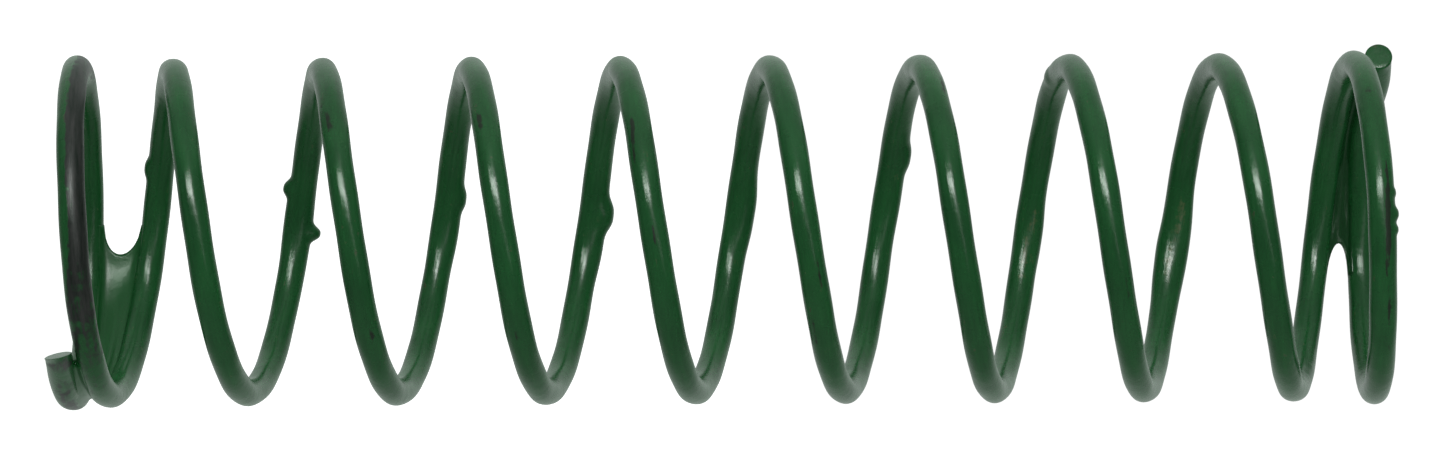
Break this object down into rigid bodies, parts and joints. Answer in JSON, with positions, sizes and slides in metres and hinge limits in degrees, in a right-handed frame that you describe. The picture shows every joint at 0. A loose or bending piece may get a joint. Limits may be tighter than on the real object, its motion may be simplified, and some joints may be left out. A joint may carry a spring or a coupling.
{
  "type": "coil spring",
  "caption": "Open-coiled cylindrical compression spring of green painted round wire, with closed, unground end rings.",
  "frame": {"origin": "on the coil axis, in the plane under the lower end ring", "axes": "+Z along the coil axis from the lower end ring to the upper one; the lower tip of the wire is at azimuth 313 degrees from +X"},
  "size_m": [0.0426, 0.0421, 0.1584],
  "materials": {
    "painted_wire": "thick glossy dark green dipped paint over bare spring steel, worn through on the end rings",
    "paint_web": "skin of the same dark green paint hanging between two strands"
  },
  "bodies": {
    "lower_end": {"lower_end_coil": "painted_wire", "lower_coating_web": "paint_web"},
    "upper_end": {"upper_end_coil": "painted_wire", "upper_coating_web": "paint_web"},
    "turn_1_quarter_1": {"turn_1_quarter_1": "painted_wire"},
    "turn_1_quarter_2": {"turn_1_quarter_2": "painted_wire"},
    "turn_1_quarter_3": {"turn_1_quarter_3": "painted_wire"},
    "turn_1_quarter_4": {"turn_1_quarter_4": "painted_wire"},
    "turn_2_quarter_1": {"turn_2_quarter_1": "painted_wire"},
    "turn_2_quarter_2": {"turn_2_quarter_2": "painted_wire"},
    "turn_2_quarter_3": {"turn_2_quarter_3": "painted_wire"},
    "turn_2_quarter_4": {"turn_2_quarter_4": "painted_wire"},
    "turn_3_quarter_1": {"turn_3_quarter_1": "painted_wire"},
    "turn_3_quarter_2": {"turn_3_quarter_2": "painted_wire"},
    "turn_3_quarter_3": {"turn_3_quarter_3": "painted_wire"},
    "turn_3_quarter_4": {"turn_3_quarter_4": "painted_wire"},
    "turn_4_quarter_1": {"turn_4_quarter_1": "painted_wire"},
    "turn_4_quarter_2": {"turn_4_quarter_2": "painted_wire"},
    "turn_4_quarter_3": {"turn_4_quarter_3": "painted_wire"},
    "turn_4_quarter_4": {"turn_4_quarter_4": "painted_wire"},
    "turn_5_quarter_1": {"turn_5_quarter_1": "painted_wire"},
    "turn_5_quarter_2": {"turn_5_quarter_2": "painted_wire"},
    "turn_5_quarter_3": {"turn_5_quarter_3": "painted_wire"},
    "turn_5_quarter_4": {"turn_5_quarter_4": "painted_wire"},
    "turn_6_quarter_1": {"turn_6_quarter_1": "painted_wire"},
    "turn_6_quarter_2": {"turn_6_quarter_2": "painted_wire"},
    "turn_6_quarter_3": {"turn_6_quarter_3": "painted_wire"},
    "turn_6_quarter_4": {"turn_6_quarter_4": "painted_wire"},
    "turn_7_quarter_1": {"turn_7_quarter_1": "painted_wire"},
    "turn_7_quarter_2": {"turn_7_quarter_2": "painted_wire"},
    "turn_7_quarter_3": {"turn_7_quarter_3": "painted_wire"},
    "turn_7_quarter_4": {"turn_7_quarter_4": "painted_wire"},
    "turn_8_quarter_1": {"turn_8_quarter_1": "painted_wire"},
    "turn_8_quarter_2": {"turn_8_quarter_2": "painted_wire"},
    "turn_8_quarter_3": {"turn_8_quarter_3": "painted_wire"},
    "turn_8_quarter_4": {"turn_8_quarter_4": "painted_wire"},
    "turn_9_quarter_1": {"turn_9_quarter_1": "painted_wire"},
    "turn_9_quarter_2": {"turn_9_quarter_2": "painted_wire"}
  },
  "joints": [
    {"name": "compression", "type": "slide", "parent": "lower_end", "child": "upper_end", "axis": [0, 0, -1], "range_m": [0, 0.09], "stiffness_N_per_m": 2100, "deforming": ["lower_coating_web", "upper_coating_web"]},
    {"name": "turn_1_quarter_1_slide", "type": "slide", "parent": "lower_end", "child": "turn_1_quarter_1", "axis": [0, 0, -1], "range_m": [0, 0.0002458]},
    {"name": "turn_1_quarter_2_slide", "type": "slide", "parent": "lower_end", "child": "turn_1_quarter_2", "axis": [0, 0, -1], "range_m": [0, 0.00201]},
    {"name": "turn_1_quarter_3_slide", "type": "slide", "parent": "lower_end", "child": "turn_1_quarter_3", "axis": [0, 0, -1], "range_m": [0, 0.00443]},
    {"name": "turn_1_quarter_4_slide", "type": "slide", "parent": "lower_end", "child": "turn_1_quarter_4", "axis": [0, 0, -1], "range_m": [0, 0.00717]},
    {"name": "turn_2_quarter_1_slide", "type": "slide", "parent": "lower_end", "child": "turn_2_quarter_1", "axis": [0, 0, -1], "range_m": [0, 0.00995]},
    {"name": "turn_2_quarter_2_slide", "type": "slide", "parent": "lower_end", "child": "turn_2_quarter_2", "axis": [0, 0, -1], "range_m": [0, 0.01273]},
    {"name": "turn_2_quarter_3_slide", "type": "slide", "parent": "lower_end", "child": "turn_2_quarter_3", "axis": [0, 0, -1], "range_m": [0, 0.01551]},
    {"name": "turn_2_quarter_4_slide", "type": "slide", "parent": "lower_end", "child": "turn_2_quarter_4", "axis": [0, 0, -1], "range_m": [0, 0.01829]},
    {"name": "turn_3_quarter_1_slide", "type": "slide", "parent": "lower_end", "child": "turn_3_quarter_1", "axis": [0, 0, -1], "range_m": [0, 0.02107]},
    {"name": "turn_3_quarter_2_slide", "type": "slide", "parent": "lower_end", "child": "turn_3_quarter_2", "axis": [0, 0, -1], "range_m": [0, 0.02385]},
    {"name": "turn_3_quarter_3_slide", "type": "slide", "parent": "lower_end", "child": "turn_3_quarter_3", "axis": [0, 0, -1], "range_m": [0, 0.02663]},
    {"name": "turn_3_quarter_4_slide", "type": "slide", "parent": "lower_end", "child": "turn_3_quarter_4", "axis": [0, 0, -1], "range_m": [0, 0.02941]},
    {"name": "turn_4_quarter_1_slide", "type": "slide", "parent": "lower_end", "child": "turn_4_quarter_1", "axis": [0, 0, -1], "range_m": [0, 0.03219]},
    {"name": "turn_4_quarter_2_slide", "type": "slide", "parent": "lower_end", "child": "turn_4_quarter_2", "axis": [0, 0, -1], "range_m": [0, 0.03497]},
    {"name": "turn_4_quarter_3_slide", "type": "slide", "parent": "lower_end", "child": "turn_4_quarter_3", "axis": [0, 0, -1], "range_m": [0, 0.03775]},
    {"name": "turn_4_quarter_4_slide", "type": "slide", "parent": "lower_end", "child": "turn_4_quarter_4", "axis": [0, 0, -1], "range_m": [0, 0.04053]},
    {"name": "turn_5_quarter_1_slide", "type": "slide", "parent": "lower_end", "child": "turn_5_quarter_1", "axis": [0, 0, -1], "range_m": [0, 0.04331]},
    {"name": "turn_5_quarter_2_slide", "type": "slide", "parent": "lower_end", "child": "turn_5_quarter_2", "axis": [0, 0, -1], "range_m": [0, 0.04609]},
    {"name": "turn_5_quarter_3_slide", "type": "slide", "parent": "lower_end", "child": "turn_5_quarter_3", "axis": [0, 0, -1], "range_m": [0, 0.04887]},
    {"name": "turn_5_quarter_4_slide", "type": "slide", "parent": "lower_end", "child": "turn_5_quarter_4", "axis": [0, 0, -1], "range_m": [0, 0.05165]},
    {"name": "turn_6_quarter_1_slide", "type": "slide", "parent": "lower_end", "child": "turn_6_quarter_1", "axis": [0, 0, -1], "range_m": [0, 0.05443]},
    {"name": "turn_6_quarter_2_slide", "type": "slide", "parent": "lower_end", "child": "turn_6_quarter_2", "axis": [0, 0, -1], "range_m": [0, 0.05721]},
    {"name": "turn_6_quarter_3_slide", "type": "slide", "parent": "lower_end", "child": "turn_6_quarter_3", "axis": [0, 0, -1], "range_m": [0, 0.05998]},
    {"name": "turn_6_quarter_4_slide", "type": "slide", "parent": "lower_end", "child": "turn_6_quarter_4", "axis": [0, 0, -1], "range_m": [0, 0.06276]},
    {"name": "turn_7_quarter_1_slide", "type": "slide", "parent": "lower_end", "child": "turn_7_quarter_1", "axis": [0, 0, -1], "range_m": [0, 0.06554]},
    {"name": "turn_7_quarter_2_slide", "type": "slide", "parent": "lower_end", "child": "turn_7_quarter_2", "axis": [0, 0, -1], "range_m": [0, 0.06832]},
    {"name": "turn_7_quarter_3_slide", "type": "slide", "parent": "lower_end", "child": "turn_7_quarter_3", "axis": [0, 0, -1], "range_m": [0, 0.0711]},
    {"name": "turn_7_quarter_4_slide", "type": "slide", "parent": "lower_end", "child": "turn_7_quarter_4", "axis": [0, 0, -1], "range_m": [0, 0.07388]},
    {"name": "turn_8_quarter_1_slide", "type": "slide", "parent": "lower_end", "child": "turn_8_quarter_1", "axis": [0, 0, -1], "range_m": [0, 0.07666]},
    {"name": "turn_8_quarter_2_slide", "type": "slide", "parent": "lower_end", "child": "turn_8_quarter_2", "axis": [0, 0, -1], "range_m": [0, 0.07944]},
    {"name": "turn_8_quarter_3_slide", "type": "slide", "parent": "lower_end", "child": "turn_8_quarter_3", "axis": [0, 0, -1], "range_m": [0, 0.08222]},
    {"name": "turn_8_quarter_4_slide", "type": "slide", "parent": "lower_end", "child": "turn_8_quarter_4", "axis": [0, 0, -1], "range_m": [0, 0.085]},
    {"name": "turn_9_quarter_1_slide", "type": "slide", "parent": "lower_end", "child": "turn_9_quarter_1", "axis": [0, 0, -1], "range_m": [0, 0.08769]},
    {"name": "turn_9_quarter_2_slide", "type": "slide", "parent": "lower_end", "child": "turn_9_quarter_2", "axis": [0, 0, -1], "range_m": [0, 0.08971]}
  ],
  "couplings": [
    {"joint": "turn_1_quarter_1_slide", "follows": "compression", "ratio": 0.00273},
    {"joint": "turn_1_quarter_2_slide", "follows": "compression", "ratio": 0.0223},
    {"joint": "turn_1_quarter_3_slide", "follows": "compression", "ratio": 0.04921},
    {"joint": "turn_1_quarter_4_slide", "follows": "compression", "ratio": 0.07972},
    {"joint": "turn_2_quarter_1_slide", "follows": "compression", "ratio": 0.1106},
    {"joint": "turn_2_quarter_2_slide", "follows": "compression", "ratio": 0.14148},
    {"joint": "turn_2_quarter_3_slide", "follows": "compression", "ratio": 0.17237},
    {"joint": "turn_2_quarter_4_slide", "follows": "compression", "ratio": 0.20325},
    {"joint": "turn_3_quarter_1_slide", "follows": "compression", "ratio": 0.23413},
    {"joint": "turn_3_quarter_2_slide", "follows": "compression", "ratio": 0.26502},
    {"joint": "turn_3_quarter_3_slide", "follows": "compression", "ratio": 0.2959},
    {"joint": "turn_3_quarter_4_slide", "follows": "compression", "ratio": 0.32678},
    {"joint": "turn_4_quarter_1_slide", "follows": "compression", "ratio": 0.35766},
    {"joint": "turn_4_quarter_2_slide", "follows": "compression", "ratio": 0.38855},
    {"joint": "turn_4_quarter_3_slide", "follows": "compression", "ratio": 0.41943},
    {"joint": "turn_4_quarter_4_slide", "follows": "compression", "ratio": 0.45031},
    {"joint": "turn_5_quarter_1_slide", "follows": "compression", "ratio": 0.4812},
    {"joint": "turn_5_quarter_2_slide", "follows": "compression", "ratio": 0.51208},
    {"joint": "turn_5_quarter_3_slide", "follows": "compression", "ratio": 0.54296},
    {"joint": "turn_5_quarter_4_slide", "follows": "compression", "ratio": 0.57385},
    {"joint": "turn_6_quarter_1_slide", "follows": "compression", "ratio": 0.60473},
    {"joint": "turn_6_quarter_2_slide", "follows": "compression", "ratio": 0.63561},
    {"joint": "turn_6_quarter_3_slide", "follows": "compression", "ratio": 0.66649},
    {"joint": "turn_6_quarter_4_slide", "follows": "compression", "ratio": 0.69738},
    {"joint": "turn_7_quarter_1_slide", "follows": "compression", "ratio": 0.72826},
    {"joint": "turn_7_quarter_2_slide", "follows": "compression", "ratio": 0.75914},
    {"joint": "turn_7_quarter_3_slide", "follows": "compression", "ratio": 0.79003},
    {"joint": "turn_7_quarter_4_slide", "follows": "compression", "ratio": 0.82091},
    {"joint": "turn_8_quarter_1_slide", "follows": "compression", "ratio": 0.85179},
    {"joint": "turn_8_quarter_2_slide", "follows": "compression", "ratio": 0.88267},
    {"joint": "turn_8_quarter_3_slide", "follows": "compression", "ratio": 0.91356},
    {"joint": "turn_8_quarter_4_slide", "follows": "compression", "ratio": 0.94444},
    {"joint": "turn_9_quarter_1_slide", "follows": "compression", "ratio": 0.97429},
    {"joint": "turn_9_quarter_2_slide", "follows": "compression", "ratio": 0.99681}
  ]
}
